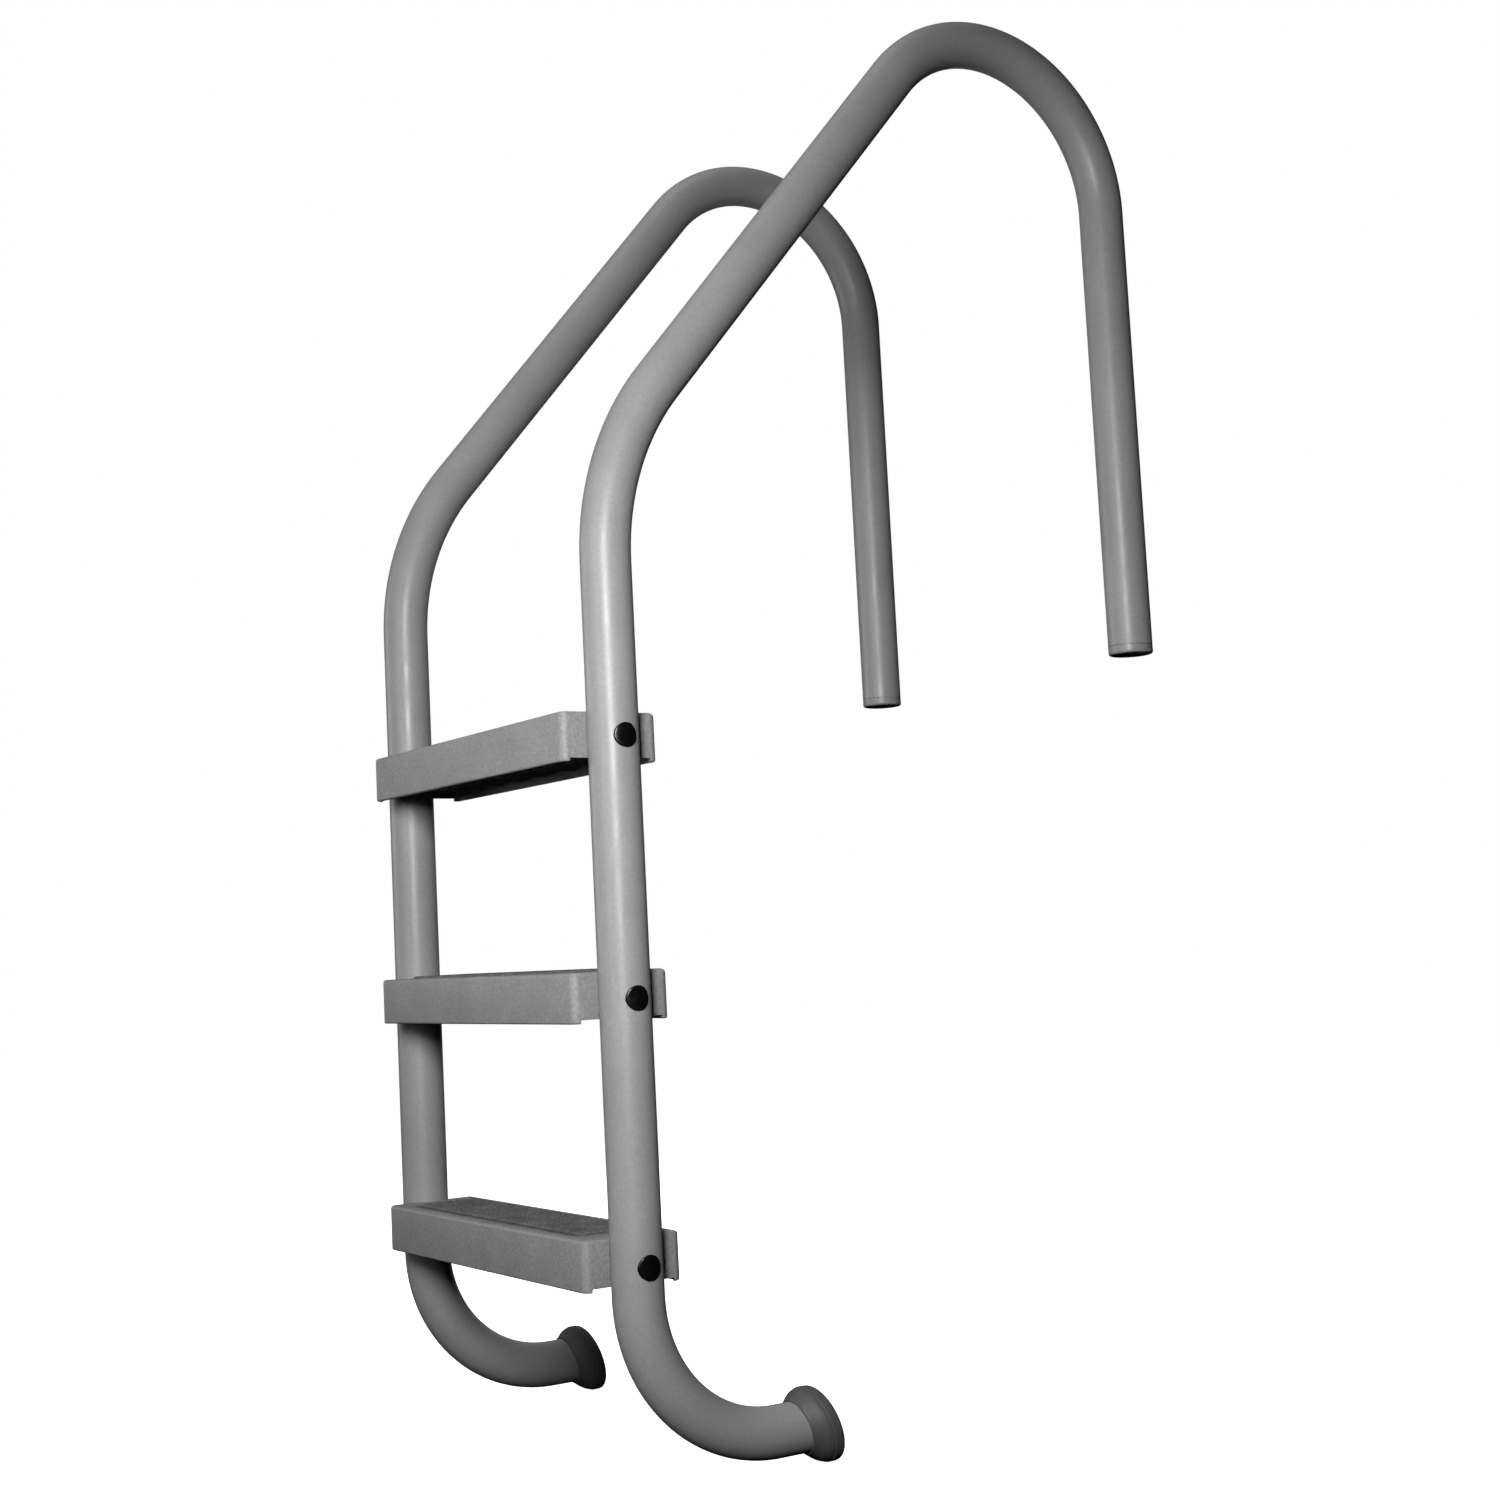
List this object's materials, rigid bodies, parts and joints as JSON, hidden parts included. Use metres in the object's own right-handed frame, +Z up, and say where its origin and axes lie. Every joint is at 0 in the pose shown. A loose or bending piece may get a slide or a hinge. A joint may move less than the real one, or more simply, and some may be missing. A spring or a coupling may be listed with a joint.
{
  "type": "pool ladder",
  "caption": "In-ground pool ladder: two bent tube rails that hook over the pool's edge, joined by moulded steps, with rubber wall bumpers.",
  "frame": {"origin": "centre of the ladder's footprint, at the height of the bumpers' lowest point", "axes": "+Z up, +Y from the pool towards the deck, +X to the right of a person who stands in the pool and faces the deck"},
  "size_m": [0.5318, 0.7284, 1.4694],
  "materials": {
    "coated_tube": "satin grey powder coat on steel tube",
    "step_plastic": "finely textured moulded plastic",
    "bumper_rubber": "matt moulded rubber",
    "end_plug_plastic": "satin moulded plastic",
    "hole_plug_plastic": "black moulded plastic",
    "stainless": "plain stainless steel fixings"
  },
  "bodies": {
    "root": {"rail_left": "coated_tube", "rail_right": "coated_tube", "step_bottom": "step_plastic", "step_middle": "step_plastic", "step_top": "step_plastic", "bumper_left": "bumper_rubber", "bumper_right": "bumper_rubber", "deck_plug_left": "end_plug_plastic", "deck_plug_right": "end_plug_plastic", "hole_plug_bottom_left": "hole_plug_plastic", "step_bolt_bottom_left": "stainless", "saddle_washer_bottom_left": "stainless", "step_nut_bottom_left": "stainless", "hole_plug_bottom_right": "hole_plug_plastic", "step_bolt_bottom_right": "stainless", "saddle_washer_bottom_right": "stainless", "step_nut_bottom_right": "stainless", "hole_plug_middle_left": "hole_plug_plastic", "step_bolt_middle_left": "stainless", "saddle_washer_middle_left": "stainless", "step_nut_middle_left": "stainless", "hole_plug_middle_right": "hole_plug_plastic", "step_bolt_middle_right": "stainless", "saddle_washer_middle_right": "stainless", "step_nut_middle_right": "stainless", "hole_plug_top_left": "hole_plug_plastic", "step_bolt_top_left": "stainless", "saddle_washer_top_left": "stainless", "step_nut_top_left": "stainless", "hole_plug_top_right": "hole_plug_plastic", "step_bolt_top_right": "stainless", "saddle_washer_top_right": "stainless", "step_nut_top_right": "stainless"}
  },
  "joints": []
}
